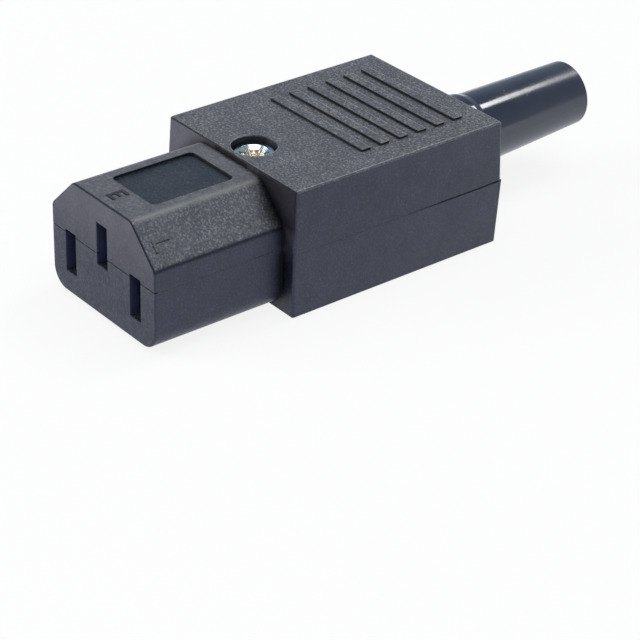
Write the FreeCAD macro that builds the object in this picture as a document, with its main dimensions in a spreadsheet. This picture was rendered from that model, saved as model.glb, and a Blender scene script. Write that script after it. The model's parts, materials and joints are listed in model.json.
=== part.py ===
"""Rewirable C13 power connector: two moulded half shells, three spring contacts, a cord clamp and a cable boot.

Millimetres. +Z is up, the contact face looks along -Y, and the origin is the bottom centre of the whole part.
"""
import FreeCAD, Part
import os
import re

import Sketcher

OUTPUT = "parts"

# name, value, meaning
SIZES = (
    ("pin_pitch", 14.0, "line to neutral, centre to centre"),
    ("earth_offset", 4.0, "earth opening above the other two"),
    ("slot_width", 2.25, "opening for one flat pin, across"),
    ("slot_height", 5.85, "opening for one flat pin, upright"),
    ("slot_rise", 0.47, "top of the outer openings above the parting plane"),
    ("nose_width", 22.2, "nose that enters the inlet, across"),
    ("nose_length", 19.3, "face to the front of the body"),
    ("nose_crown", 7.75, "top of the nose above the parting plane"),
    ("nose_keel", 8.45, "bottom of the nose below the parting plane"),
    ("bevel_width", 4.9, "sloping shoulder of the nose, across"),
    ("bevel_height", 4.8, "sloping shoulder of the nose, upright"),
    ("bevel_round", 1.5, "radius where the shoulder meets the top"),
    ("shoulder_round", 0.8, "radius where the shoulder meets the side"),
    ("keel_round", 2.7, "radius of the lower corners of the nose"),
    ("face_bevel", 0.15, "sloping rim of the contact face"),
    ("face_wall", 1.5, "wall behind the contact face"),
    ("seam_gap", 0.14, "open joint between the halves, seen on the contact face"),
    ("seam_depth", 0.5, "open joint from the face inwards"),
    ("plate_margin", 1.675, "flat top between the rating plate recess and the shoulder"),
    ("plate_setback", 4.5, "recess behind the contact face"),
    ("plate_rear", 2.5, "recess in front of the body"),
    ("plate_depth", 0.35, "depth of the recess"),
    ("plate_round", 0.8, "corner radius of the recess"),
    ("body_length", 34.7, "body along the connector"),
    ("parting_height", 9.2, "lower half, resting plane to parting plane"),
    ("cover_height", 8.55, "upper half, parting plane to the top"),
    ("side_draft", 0.2, "how far each side leans in"),
    ("front_draft", 0.1, "how far the front leans in"),
    ("rear_draft", 0.32, "how far the rear of the lower half leans in"),
    ("cover_draft", 0.3, "how far the upper half leans in"),
    ("rear_step", 0.25, "lower half beyond the upper half at the rear"),
    ("gape", 0.18, "joint between the halves, open at the rear"),
    ("gape_length", 8.0, "rear stretch over which the joint closes"),
    ("corner_round", 0.35, "upright corners of the body"),
    ("foot_bevel", 0.15, "sloping edge round the bottom"),
    ("crown_bevel", 0.2, "sloping edge round the top"),
    ("wall", 1.8, "side walls"),
    ("front_wall", 2.0, "wall between the nose and the body"),
    ("rear_wall", 2.0, "wall that holds the boot"),
    ("floor_thickness", 1.8, "bottom of the lower half"),
    ("roof_thickness", 1.8, "top of the upper half"),
    ("rib_length", 18.8, "grip rib, across"),
    ("rib_width", 1.4, "grip rib, along the connector"),
    ("rib_pitch", 3.1, "rib to rib"),
    ("rib_height", 0.35, "rib above the top"),
    ("rib_rear", 3.95, "last rib in front of the rear of the body"),
    ("rib_front", 13.0, "plain top in front of the ribs, at least"),
    ("screw_setback", 3.95, "cover screw behind the front of the body"),
    ("sink_play", 0.25, "counterbore round the screw head"),
    ("sink_depth", 2.3, "counterbore from the top down to its seat"),
    ("sink_wall", 1.3, "wall round the counterbore"),
    ("head_width", 5.5, "cover screw head"),
    ("head_height", 2.1, "cover screw head"),
    ("head_bevel", 0.7, "sloping rim of the cover screw head"),
    ("shank_width", 2.9, "cover screw shank"),
    ("shank_length", 11.0, "cover screw shank"),
    ("recess_width", 0.9, "arm of the cross recess"),
    ("recess_span", 3.4, "cross recess, tip to tip"),
    ("recess_heart", 1.7, "middle of the cross recess"),
    ("recess_depth", 1.1, "cross recess"),
    ("post_wall", 1.0, "post round the hole for the cover screw"),
    ("post_foot_width", 7.2, "shoulder of the post under the earth strap"),
    ("thread_play", 0.05, "a screw in its hole, all round"),
    ("through_play", 0.25, "a screw in a plain hole, all round"),
    ("bottom_play", 0.3, "blind hole past the tip of its screw"),
    ("chamber_width", 3.8, "contact chamber in the nose"),
    ("chamber_play", 0.3, "chamber beyond the opening, up and down"),
    ("earth_bay", 8.2, "middle compartment of the body, across"),
    ("terminal_bay", 6.6, "outer compartments of the body, across"),
    ("partition", 1.0, "wall between the compartments"),
    ("partition_gap", 4.0, "partitions in front of the cord clamp"),
    ("sheet", 0.6, "web of a contact"),
    ("spring", 0.45, "spring leaf of a contact"),
    ("contact_side", 0.3, "contact in its chamber, each side"),
    ("contact_headroom", 1.1, "chamber above the spring leaves"),
    ("contact_play", 0.4, "leaf tips behind the face wall"),
    ("grip_gap", 1.7, "leaves where they grip the pin"),
    ("flare_play", 0.1, "flared leaf tips in their chamber, each side"),
    ("grip_reach", 2.5, "tips to grip"),
    ("flex_reach", 5.5, "tips to the straight part"),
    ("cage_reach", 11.0, "tips to the end of the leaves"),
    ("tab_margin", 0.3, "tab beyond the clamp plate"),
    ("tab_play", 0.5, "tab in its compartment, each side"),
    ("outer_setback", 11.5, "outer terminals behind the front of the body"),
    ("earth_setback", 14.5, "earth terminal behind the front of the body"),
    ("collar_wall", 0.6, "drawn collar under a tab"),
    ("collar_depth", 1.2, "drawn collar under a tab"),
    ("collar_play", 0.35, "recess round the collar"),
    ("ring_play", 0.2, "earth strap round the post"),
    ("ring_rim", 1.2, "rim of the ring in the earth strap"),
    ("strap_width", 5.2, "earth strap behind the ring"),
    ("plate_side", 5.0, "square clamp plate"),
    ("plate_thickness", 0.8, "square clamp plate"),
    ("terminal_head", 5.2, "terminal screw head"),
    ("terminal_head_height", 1.6, "terminal screw head"),
    ("terminal_shank", 2.9, "terminal screw shank"),
    ("terminal_length", 3.0, "terminal screw shank"),
    ("slit", 0.7, "driver slot of a terminal screw"),
    ("slit_depth", 0.8, "driver slot of a terminal screw"),
    ("cord_width", 6.8, "cord that the clamp and the cradle fit"),
    ("clamp_setback", 8.1, "cord clamp in front of the rear of the body"),
    ("clamp_drop", 0.6, "clamp seat below the parting plane"),
    ("clamp_play", 0.6, "cord clamp beside the side walls"),
    ("clamp_width", 5.0, "cord clamp, along the connector"),
    ("clamp_foot", 1.8, "foot of the clamp"),
    ("clamp_arch", 1.6, "arch of the clamp"),
    ("clamp_head_play", 0.4, "clamp screw head beside the side walls"),
    ("clamp_boss", 6.2, "boss under a clamp screw"),
    ("clamp_head", 5.2, "clamp screw head"),
    ("clamp_head_height", 1.8, "clamp screw head"),
    ("clamp_shank", 2.8, "clamp screw shank"),
    ("clamp_shank_length", 7.0, "clamp screw shank"),
    ("cradle_length", 2.0, "cradle under the cord, along"),
    ("dowel_width", 1.8, "locating dowel"),
    ("dowel_height", 1.2, "locating dowel above the parting plane"),
    ("dowel_play", 0.08, "dowel in its hole, all round"),
    ("dowel_boss", 3.6, "boss round a dowel"),
    ("dowel_inset", 0.9, "dowel centre inside the corner"),
    ("dowel_root", 3.0, "boss above a dowel hole"),
    ("boot_reach", 25.05, "boot beyond the rear of the body"),
    ("cord_play", 0.1, "cord in the boot, all round"),
    ("mouth_wall", 1.08, "wall of the boot at its mouth"),
    ("root_wall", 1.65, "wall of the boot where the taper starts"),
    ("neck_wall", 1.1, "wall of the boot in the rear wall"),
    ("collar_rim", 0.85, "collar beyond the neck, all round"),
    ("boot_collar_length", 4.7, "collar beside the body"),
    ("boot_step", 1.0, "slope from the collar to the taper"),
    ("flange_play", 0.35, "flange below the roof and above the floor"),
    ("boot_flange_length", 1.6, "flange inside the rear wall"),
    ("boot_play", 0.3, "boot against the rear wall, each side"),
    ("neck_play", 0.2, "neck in the rear wall, all round"),
    ("boot_lift", 2.1, "degrees that the boot rises"),
    ("boot_bevel", 0.6, "sloping end of the collar"),
    ("mouth_bevel", 0.25, "sloping outer edge of the mouth"),
    ("overlap", 0.5, "how far a feature starts inside its neighbour"),
)

document = FreeCAD.newDocument("PowerConnector")
sheet = document.addObject("Spreadsheet::Sheet", "Sizes")
for row, (name, number, meaning) in enumerate(SIZES, start=1):
    sheet.set(f"A{row}", name)
    sheet.set(f"B{row}", str(number))
    sheet.set(f"C{row}", meaning)
    sheet.setAlias(f"B{row}", name)
document.recompute()

# stations and levels, as formulas of the sizes
FACE = "(-(nose_length + body_length + boot_reach) / 2)"
FRONT = f"({FACE} + nose_length)"
BACK = f"({FRONT} + body_length)"
TOP = "(parting_height + cover_height)"
NOSE_TOP = "(parting_height + nose_crown)"
NOSE_BOTTOM = "(parting_height - nose_keel)"
SLOT_TOP = "(parting_height + slot_rise)"
CHAMBER_FLOOR = f"({SLOT_TOP} - slot_height - chamber_play)"
CHAMBER_ROOF = f"({SLOT_TOP} + chamber_play)"
EARTH_FLOOR = f"({CHAMBER_FLOOR} + earth_offset)"
EARTH_ROOF = f"({CHAMBER_ROOF} + earth_offset)"
SCREW_Y = f"({FRONT} + screw_setback)"
SCREW_SEAT = f"({TOP} - sink_depth)"
SINK_WIDTH = "(head_width + 2 * sink_play)"
POST_WIDTH = "(shank_width + 2 * thread_play + 2 * post_wall)"
RING_HOLE = f"({POST_WIDTH} + 2 * ring_play)"
OUTER_Y = f"({FRONT} + outer_setback)"
EARTH_Y = f"({FRONT} + earth_setback)"
OUTER_BAY = "(earth_bay / 2 + partition)"
BAY_SIDE = f"({OUTER_BAY} + terminal_bay)"
BODY_SIDE = f"({BAY_SIDE} + wall)"
BEND = f"({FRONT} + front_wall + tab_play)"
TAB_X = f"({OUTER_BAY} + terminal_bay / 2)"
TAB_SHIFT = f"({TAB_X} - pin_pitch / 2)"
TAB_REACH = "(plate_side / 2 + tab_margin)"
CONTACT_SIDE = "(chamber_width / 2 - contact_side)"
CONTACT_HEIGHT = "(slot_height + 2 * chamber_play - contact_headroom)"
COLLAR_WIDTH = "(terminal_shank + 2 * thread_play + 2 * collar_wall)"
TIPS = f"({FACE} + face_wall + contact_play)"
CLAMP_X = f"({BAY_SIDE} - clamp_head_play - clamp_head / 2)"
CLAMP_Y = f"({BACK} - clamp_setback)"
CLAMP_SEAT = "(parting_height - clamp_drop)"
DOWEL_X = f"({BAY_SIDE} - dowel_inset)"
DOWEL_Y = f"({BACK} - rear_wall - dowel_inset)"
BORE = "(cord_width + 2 * cord_play)"
NECK = f"({BORE} + 2 * neck_wall)"
BEVEL_LOW = f"({NOSE_TOP} - bevel_height)"
BEVEL_SIDE = "(nose_width / 2 - bevel_width)"
RIB_STRETCH = "(body_length - rib_front - rib_rear - rib_width)"


def linked(formula):
    """Points each size name in a formula at its cell in the sheet."""
    return re.sub(r"[a-z][a-z_]+(?![a-z_(])", lambda word: "Sizes." + word.group(), formula)


def value(formula):
    """The present value of a formula."""
    return float(sheet.evalExpression(linked(formula)))


def new_body(label, x="0", y="0", z="0"):
    """A sub-part whose own origin lies at x, y, z."""
    body = document.addObject("PartDesign::Body", label)
    body.Label = label
    for axis, formula in zip("xyz", (x, y, z)):
        body.setExpression(f"Placement.Base.{axis}", linked(formula))
    document.recompute()
    return body


def sketch_on(body, name, plane, lift):
    """An empty sketch parallel to one of the body's own planes."""
    sketch = body.newObject("Sketcher::SketchObject", name)
    support = next(item for item in body.Origin.OriginFeatures if item.Role == plane)
    sketch.AttachmentSupport = (support, [""])
    sketch.MapMode = "FlatFace"
    sketch.setExpression("AttachmentOffset.Base.z", linked(lift))
    return sketch


def place_point(sketch, geometry, point, u, v):
    """Ties a point of the sketch to two formulas."""
    for kind, formula in (("DistanceX", u), ("DistanceY", v)):
        index = sketch.addConstraint(Sketcher.Constraint(kind, -1, 1, geometry, point, value(formula)))
        sketch.setExpression(f"Constraints[{index}]", linked(formula))


def add_loop(sketch, corners):
    """A closed outline of straight lines whose corners follow their formulas."""
    first = sketch.GeometryCount
    count = len(corners)
    points = [FreeCAD.Vector(value(u), value(v), 0) for u, v in corners]
    for index in range(count):
        sketch.addGeometry(Part.LineSegment(points[index], points[(index + 1) % count]), False)
    for index in range(count):
        following = first + (index + 1) % count
        sketch.addConstraint(Sketcher.Constraint("Coincident", first + index, 2, following, 1))
    for index, (u, v) in enumerate(corners):
        place_point(sketch, first + index, 1, u, v)


def outline(body, name, plane, lift, *loops):
    """A sketch of closed outlines."""
    sketch = sketch_on(body, name, plane, lift)
    for corners in loops:
        add_loop(sketch, corners)
    return sketch


def discs(body, name, plane, lift, *circles):
    """A sketch of circles, each given by its centre and its width."""
    sketch = sketch_on(body, name, plane, lift)
    for u, v, width in circles:
        radius = f"({width}) / 2"
        centre = FreeCAD.Vector(value(u), value(v), 0)
        axis = FreeCAD.Vector(0, 0, 1)
        geometry = sketch.addGeometry(Part.Circle(centre, axis, value(radius)), False)
        index = sketch.addConstraint(Sketcher.Constraint("Radius", geometry, value(radius)))
        sketch.setExpression(f"Constraints[{index}]", linked(radius))
        place_point(sketch, geometry, 3, u, v)
    return sketch


def box(left, right, near, far):
    """The corners of an upright rectangle."""
    return [(left, near), (right, near), (right, far), (left, far)]


def mirrored_box(half_width, near, far):
    """A rectangle centred on the sketch's upright axis."""
    return box(f"-({half_width})", half_width, near, far)


def extrude(body, kind, name, sketch, length, reverse):
    """A pad or a pocket that is checked to have changed the solid."""
    before = body.Shape.Volume if body.Tip else 0
    feature = body.newObject(f"PartDesign::{kind}", name)
    feature.Profile = sketch
    feature.setExpression("Length", linked(length))
    feature.Reversed = reverse
    document.recompute()
    change = body.Shape.Volume - before
    if change * (1 if kind == "Pad" else -1) <= 0:
        raise ValueError(f"{name} changed the volume of {body.Label} by {change:.3f}")
    return feature


def pad(body, name, sketch, length, reverse=False):
    return extrude(body, "Pad", name, sketch, length, reverse)


def pocket(body, name, sketch, length, reverse=False):
    return extrude(body, "Pocket", name, sketch, length, reverse)


def drafted_block(body, levels, fronts, backs, halves):
    """A block whose sides lean: a side profile right across, then a wedge off either flank."""
    (low, high), (front_low, front_high), (back_low, back_high) = levels, fronts, backs
    corners = [(front_low, low), (back_low, low), (back_high, high), (front_high, high)]
    pad(body, "Block", outline(body, "SideProfile", "YZ_Plane", BODY_SIDE, corners), f"2 * {BODY_SIDE}", True)
    beyond = f"{BODY_SIDE} + overlap"
    flanks = [[(f"{side} * ({halves[0]})", low), (f"{side} * ({beyond})", low),
               (f"{side} * ({beyond})", high), (f"{side} * ({halves[1]})", high)] for side in ("-1", "1")]
    wedges = outline(body, "Flanks", "XZ_Plane", f"-({FRONT} - overlap)", *flanks)
    pocket(body, "FlankCuts", wedges, "body_length + rear_step + 2 * overlap")


def revolve(body, name, sketch, axis):
    """A full turn of an outline about one of the sketch's axes."""
    feature = body.newObject("PartDesign::Revolution", name)
    feature.Profile = sketch
    feature.ReferenceAxis = (sketch, [axis])
    feature.Angle = 360
    document.recompute()
    return feature


def dress(body, kind, name, measure, size, chosen):
    """Treats the edges of the body that pass the test."""
    tip = body.Tip
    edges = [f"Edge{index}" for index, edge in enumerate(tip.Shape.Edges, start=1) if chosen(edge.BoundBox)]
    feature = body.newObject(f"PartDesign::{kind}", name)
    feature.Base = (tip, edges)
    feature.setExpression(measure, linked(size))
    document.recompute()
    return feature


def fillet(body, name, radius, chosen):
    return dress(body, "Fillet", name, "Radius", radius, chosen)


def chamfer(body, name, size, chosen):
    return dress(body, "Chamfer", name, "Size", size, chosen)


def near(a, b):
    return abs(a - b) < 0.02


def ring_at(level):
    """Edges that lie in one horizontal plane."""
    return lambda bounds: near(bounds.ZMin, level) and near(bounds.ZMax, level)


def upright(bounds):
    """Edges that stand, give or take the draft."""
    return bounds.ZLength > 5 * max(bounds.XLength, bounds.YLength)


def along(level, side):
    """Edges that run along the nose at a height and a distance from the middle."""
    def test(bounds):
        middle = abs(bounds.XMin + bounds.XMax) / 2
        return bounds.YLength > value("nose_length / 2") and near(bounds.Center.z, level) and near(middle, side)
    return test


def bevel_face(body, name):
    """Breaks the rim of the contact face, apart from the line where the halves meet."""
    face = value(FACE)
    parting = value("parting_height")

    def test(bounds):
        on_face = near(bounds.YMin, face) and near(bounds.YMax, face)
        on_joint = near(bounds.ZMin, parting) and near(bounds.ZMax, parting)
        return on_face and not on_joint
    chamfer(body, name, "face_bevel", test)


def pin_slots(body):
    """The three openings in the contact face."""
    side = "slot_width / 2"
    low = f"{SLOT_TOP} - slot_height"
    centres = (("-pin_pitch / 2", "0"), ("0", "earth_offset"), ("pin_pitch / 2", "0"))
    loops = [box(f"{x} - {side}", f"{x} + {side}", f"{low} + {rise}", f"{SLOT_TOP} + {rise}") for x, rise in centres]
    sketch = outline(body, "PinSlots", "XZ_Plane", f"-{FACE} + overlap", *loops)
    pocket(body, "PinSlotCuts", sketch, "face_wall + 2 * overlap")


def chambers(body, outer_depth, earth_depth, upwards):
    """The channels in the nose that hold the contacts and let their webs into the body."""
    near_end = f"{FACE} + face_wall"
    far_end = f"{BEND} + 2 * overlap"
    half = "chamber_width / 2"
    outer = [box(f"{side} * pin_pitch / 2 - {half}", f"{side} * pin_pitch / 2 + {half}", near_end, far_end)
             for side in ("-1", "1")]
    sketch = outline(body, "OuterChambers", "XY_Plane", "parting_height", *outer)
    pocket(body, "OuterChamberCuts", sketch, outer_depth, upwards)
    sketch = outline(body, "EarthChamber", "XY_Plane", "parting_height", mirrored_box(half, near_end, far_end))
    pocket(body, "EarthChamberCut", sketch, earth_depth, upwards)


def hollow(body, depth, upwards):
    """The room behind the nose."""
    rim = mirrored_box(BAY_SIDE, f"{FRONT} + front_wall", f"{BACK} - rear_wall")
    sketch = outline(body, "Room", "XY_Plane", "parting_height", rim)
    pocket(body, "RoomCut", sketch, depth, upwards)


def partitions(body, lift, height):
    """The two walls that keep the conductors apart."""
    first = f"{FRONT} + front_wall - overlap"
    last = f"{CLAMP_Y} - clamp_width / 2 - partition_gap"
    walls = [box(f"{a}", f"{b}", first, last) for a, b in
             ((f"-{OUTER_BAY}", "-earth_bay / 2"), ("earth_bay / 2", OUTER_BAY))]
    pad(body, "PartitionWalls", outline(body, "Partitions", "XY_Plane", lift, *walls), height)


def boot_opening(body):
    """The round hole in the rear wall, half of it in each shell."""
    hole = discs(body, "BootHole", "XZ_Plane", f"-({BACK} - rear_wall - overlap)",
                 ("0", "parting_height", f"{NECK} + 2 * neck_play"))
    pocket(body, "BootHoleCut", hole, "rear_wall + 3 * overlap")


def both_sides(x, y, width):
    """Two equal circles, left and right."""
    return (f"-{x}", y, width), (x, y, width)


# the lower half: block and nose
lower = new_body("lower_shell")
drafted_block(lower, ("0", "parting_height"), (f"{FRONT} + front_draft", FRONT),
              (f"{BACK} + rear_step - rear_draft", f"{BACK} + rear_step"),
              (f"{BODY_SIDE} - side_draft", BODY_SIDE))
fillet(lower, "LowerCorners", "corner_round", upright)
chamfer(lower, "LowerEdge", "foot_bevel", ring_at(0))
keel = outline(lower, "LowerNose", "XZ_Plane", f"-({FRONT} + overlap)",
               mirrored_box("nose_width / 2", NOSE_BOTTOM, "parting_height"))
pad(lower, "LowerNosePad", keel, "nose_length + overlap")
fillet(lower, "KeelCorners", "keel_round", along(value(NOSE_BOTTOM), value("nose_width / 2")))
bevel_face(lower, "LowerFaceEdge")

# the lower half: room, chambers and openings
hollow(lower, "parting_height - floor_thickness", False)
partitions(lower, "floor_thickness", "parting_height - floor_thickness")
chambers(lower, f"parting_height - {CHAMBER_FLOOR}", f"parting_height - {EARTH_FLOOR}", False)
pin_slots(lower)
plinths = [box(a, b, f"{FRONT} + front_wall - overlap", f"{OUTER_Y} + {TAB_REACH}") for a, b in
           ((f"-({BAY_SIDE} + overlap)", f"-({OUTER_BAY} - overlap)"),
            (f"{OUTER_BAY} - overlap", f"{BAY_SIDE} + overlap"))]
pad(lower, "OuterPlinths", outline(lower, "OuterPlinthBase", "XY_Plane", "floor_thickness", *plinths),
    f"{CHAMBER_FLOOR} - floor_thickness")
earth_plinth = mirrored_box("earth_bay / 2 + overlap", f"{EARTH_Y} - {TAB_REACH}", f"{EARTH_Y} + {TAB_REACH}")
pad(lower, "EarthPlinth", outline(lower, "EarthPlinthBase", "XY_Plane", "floor_thickness", earth_plinth),
    f"{EARTH_FLOOR} - floor_thickness")
pad(lower, "PostFoot", discs(lower, "PostFootBase", "XY_Plane", "floor_thickness",
                             ("0", SCREW_Y, "post_foot_width")), f"{EARTH_FLOOR} - floor_thickness")
ring_room = discs(lower, "RingRoom", "XY_Plane", "parting_height",
                  ("0", SCREW_Y, f"{RING_HOLE} + 2 * ring_rim + 2 * ring_play"))
pocket(lower, "RingRoomCut", ring_room, f"parting_height - {EARTH_FLOOR}")
pad(lower, "Post", discs(lower, "PostBase", "XY_Plane", EARTH_FLOOR, ("0", SCREW_Y, POST_WIDTH)),
    f"parting_height - {EARTH_FLOOR}")
pilot = discs(lower, "PostHole", "XY_Plane", "parting_height", ("0", SCREW_Y, "shank_width + 2 * thread_play"))
pocket(lower, "PostHoleCut", pilot, f"shank_length + bottom_play - ({SCREW_SEAT} - parting_height)")
COLLAR_ROOM = f"{COLLAR_WIDTH} + 2 * collar_play"
outer_rooms = discs(lower, "OuterCollarRooms", "XY_Plane", CHAMBER_FLOOR, *both_sides(TAB_X, OUTER_Y, COLLAR_ROOM))
pocket(lower, "OuterCollarRoomCuts", outer_rooms, "terminal_length - sheet - plate_thickness + bottom_play / 2")
earth_room = discs(lower, "EarthCollarRoom", "XY_Plane", EARTH_FLOOR, ("0", EARTH_Y, COLLAR_ROOM))
pocket(lower, "EarthCollarRoomCut", earth_room, "terminal_length - sheet - plate_thickness + bottom_play")

# the lower half: cord cradle, clamp bosses, dowels and boot hole
cradle = mirrored_box(f"{CLAMP_X} - clamp_boss / 2 + overlap",
                      f"{CLAMP_Y} - cradle_length / 2", f"{CLAMP_Y} + cradle_length / 2")
pad(lower, "Cradle", outline(lower, "CradleBase", "XY_Plane", "floor_thickness", cradle),
    f"{CLAMP_SEAT} - floor_thickness")
notch = discs(lower, "CradleNotch", "XZ_Plane", f"-({CLAMP_Y} - cradle_length)",
              ("0", "parting_height", "cord_width"))
pocket(lower, "CradleNotchCut", notch, "2 * cradle_length")
bosses = discs(lower, "ClampBossBase", "XY_Plane", "floor_thickness", *both_sides(CLAMP_X, CLAMP_Y, "clamp_boss"))
pad(lower, "ClampBosses", bosses, f"{CLAMP_SEAT} - floor_thickness")
boss_holes = discs(lower, "ClampHoles", "XY_Plane", CLAMP_SEAT,
                   *both_sides(CLAMP_X, CLAMP_Y, "clamp_shank + 2 * thread_play"))
pocket(lower, "ClampHoleCuts", boss_holes, "clamp_shank_length - clamp_foot + bottom_play")
dowel_bosses = discs(lower, "DowelBossBase", "XY_Plane", "floor_thickness",
                     *both_sides(DOWEL_X, DOWEL_Y, "dowel_boss"))
pad(lower, "DowelBosses", dowel_bosses, "parting_height - floor_thickness")
dowels = discs(lower, "DowelBase", "XY_Plane", "parting_height - overlap",
               *both_sides(DOWEL_X, DOWEL_Y, "dowel_width"))
pad(lower, "Dowels", dowels, "dowel_height + overlap")
boot_opening(lower)

# the upper half: block, nose, rating plate recess and grip ribs
upper = new_body("upper_shell")
drafted_block(upper, ("parting_height", TOP), (FRONT, f"{FRONT} + cover_draft"), (BACK, f"{BACK} - cover_draft"),
              (BODY_SIDE, f"{BODY_SIDE} - cover_draft"))
fillet(upper, "UpperCorners", "corner_round", upright)
chamfer(upper, "UpperEdge", "crown_bevel", ring_at(value(TOP)))
hood = outline(upper, "UpperNose", "XZ_Plane", f"-({FRONT} + overlap)", [
    ("-nose_width / 2", "parting_height"), ("nose_width / 2", "parting_height"),
    ("nose_width / 2", BEVEL_LOW), (BEVEL_SIDE, NOSE_TOP), (f"-{BEVEL_SIDE}", NOSE_TOP),
    ("-nose_width / 2", BEVEL_LOW)])
pad(upper, "UpperNosePad", hood, "nose_length + overlap")
fillet(upper, "BevelEdges", "bevel_round", along(value(NOSE_TOP), value(BEVEL_SIDE)))
fillet(upper, "ShoulderEdges", "shoulder_round", along(value(BEVEL_LOW), value("nose_width / 2")))
bevel_face(upper, "UpperFaceEdge")
PLATE_SIDE = f"({BEVEL_SIDE} - plate_margin)"
plate = outline(upper, "PlateRecess", "XY_Plane", NOSE_TOP,
                mirrored_box(PLATE_SIDE, f"{FACE} + plate_setback", f"{FRONT} - plate_rear"))
pocket(upper, "PlateRecessCut", plate, "plate_depth")


def plate_corner(bounds):
    """The four upright corners of the recess."""
    upright_here = near(bounds.ZLength, value("plate_depth")) and near(bounds.ZMax, value(NOSE_TOP))
    return upright_here and near(abs(bounds.Center.x), value(PLATE_SIDE))


fillet(upper, "PlateCorners", "plate_round", plate_corner)
rear_rib = outline(upper, "RibBase", "XY_Plane", f"{TOP} - overlap", mirrored_box(
    "rib_length / 2", f"{BACK} - rib_rear - rib_width", f"{BACK} - rib_rear"))
rib = pad(upper, "Rib", rear_rib, "rib_height + overlap")

# the upper half: room, chambers and openings
hollow(upper, "cover_height - roof_thickness", True)
partitions(upper, "parting_height", "cover_height - roof_thickness")
chambers(upper, f"{CHAMBER_ROOF} - parting_height", f"{EARTH_ROOF} - parting_height", True)
pin_slots(upper)
boss = discs(upper, "ScrewBossBase", "XY_Plane", "parting_height", ("0", SCREW_Y, f"{SINK_WIDTH} + 2 * sink_wall"))
pad(upper, "ScrewBoss", boss, "cover_height - roof_thickness")
through = discs(upper, "ScrewHole", "XY_Plane", TOP, ("0", SCREW_Y, "shank_width + 2 * through_play"))
pocket(upper, "ScrewHoleCut", through, "cover_height")
sink = discs(upper, "ScrewSink", "XY_Plane", TOP, ("0", SCREW_Y, SINK_WIDTH))
pocket(upper, "ScrewSinkCut", sink, "sink_depth")
caps = discs(upper, "DowelCapBase", "XY_Plane", "parting_height", *both_sides(DOWEL_X, DOWEL_Y, "dowel_boss"))
pad(upper, "DowelCaps", caps, "dowel_root")
cap_holes = discs(upper, "DowelHoles", "XY_Plane", "parting_height",
                  *both_sides(DOWEL_X, DOWEL_Y, "dowel_width + 2 * dowel_play"))
pocket(upper, "DowelHoleCuts", cap_holes, "dowel_height + bottom_play", True)
boot_opening(upper)

# the joint stands open a hair on the contact face, and widens toward the rear end
seam = outline(upper, "Seam", "XZ_Plane", f"-{FACE} + overlap", mirrored_box(
    "nose_width / 2 + overlap", "parting_height - overlap", "parting_height + seam_gap"))
pocket(upper, "SeamCut", seam, "seam_depth + overlap")
GAPE_END = f"({BACK} + overlap)"
wedge = outline(upper, "Gape", "YZ_Plane", f"-({BODY_SIDE} + overlap)", [
    (f"{BACK} - gape_length", "parting_height"), (GAPE_END, "parting_height"),
    (GAPE_END, "parting_height + gape * (1 + overlap / gape_length)")])
pocket(upper, "GapeCut", wedge, f"2 * ({BODY_SIDE} + overlap)", True)


def spring_cage(body):
    """Two sprung leaves that stand on a web and grip the flat pin."""
    for side in ("-1", "1"):
        path = (("chamber_width / 2 - flare_play - spring", TIPS), ("grip_gap / 2", f"{TIPS} + grip_reach"),
                (f"{CONTACT_SIDE} - spring", f"{TIPS} + flex_reach"),
                (f"{CONTACT_SIDE} - spring", f"{TIPS} + cage_reach"))
        inner = [(f"{side} * ({x})", y) for x, y in path]
        outer = [(f"{side} * ({x} + spring)", y) for x, y in reversed(path)]
        leaf = outline(body, "Leaf", "XY_Plane", "0", inner + outer)
        pad(body, "LeafPad", leaf, CONTACT_HEIGHT)


def outer_contact(label, side):
    """Line or neutral: spring cage, web and terminal tab, cut and folded from one sheet."""
    body = new_body(label, f"{side} * pin_pitch / 2", "0", CHAMBER_FLOOR)
    web = mirrored_box(CONTACT_SIDE, f"{TIPS} + flex_reach", f"{BEND} + overlap")
    pad(body, "WebPad", outline(body, "Web", "XY_Plane", "0", web), "sheet")
    half_tab = "(terminal_bay / 2 - tab_play)"
    tab = box(f"{side} * ({TAB_SHIFT} - {half_tab})", f"{side} * ({TAB_SHIFT} + {half_tab})",
              BEND, f"{OUTER_Y} + {TAB_REACH}")
    pad(body, "TabPad", outline(body, "Tab", "XY_Plane", "0", tab), "sheet")
    spring_cage(body)
    centre = (f"{side} * {TAB_SHIFT}", OUTER_Y)
    finish_terminal(body, centre)
    return body


def finish_terminal(body, centre):
    """The drawn collar under the tab and the hole for its screw."""
    x, y = centre
    pad(body, "Collar", discs(body, "CollarBase", "XY_Plane", "sheet / 2", (x, y, COLLAR_WIDTH)),
        "collar_depth + sheet / 2", True)
    hole = discs(body, "ScrewWay", "XY_Plane", "sheet", (x, y, "terminal_shank + 2 * thread_play"))
    pocket(body, "ScrewWayCut", hole, "sheet + collar_depth")


line = outer_contact("line_contact", "1")
neutral = outer_contact("neutral_contact", "-1")

# the earth contact passes round the post of the cover screw
earth = new_body("earth_contact", "0", "0", EARTH_FLOOR)
web = outline(earth, "Web", "XY_Plane", "0", mirrored_box(
    CONTACT_SIDE, f"{TIPS} + flex_reach", f"{SCREW_Y} - {POST_WIDTH} / 2"))
pad(earth, "WebPad", web, "sheet")
ring = discs(earth, "Ring", "XY_Plane", "0", ("0", SCREW_Y, f"{RING_HOLE} + 2 * ring_rim"))
pad(earth, "RingPad", ring, "sheet")
strap = outline(earth, "Strap", "XY_Plane", "0", mirrored_box(
    "strap_width / 2", f"{SCREW_Y} + {POST_WIDTH} / 2", f"{EARTH_Y} + {TAB_REACH}"))
pad(earth, "StrapPad", strap, "sheet")
post_way = discs(earth, "PostWay", "XY_Plane", "sheet", ("0", SCREW_Y, RING_HOLE))
pocket(earth, "PostWayCut", post_way, "sheet")
spring_cage(earth)
finish_terminal(earth, ("0", EARTH_Y))


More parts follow.
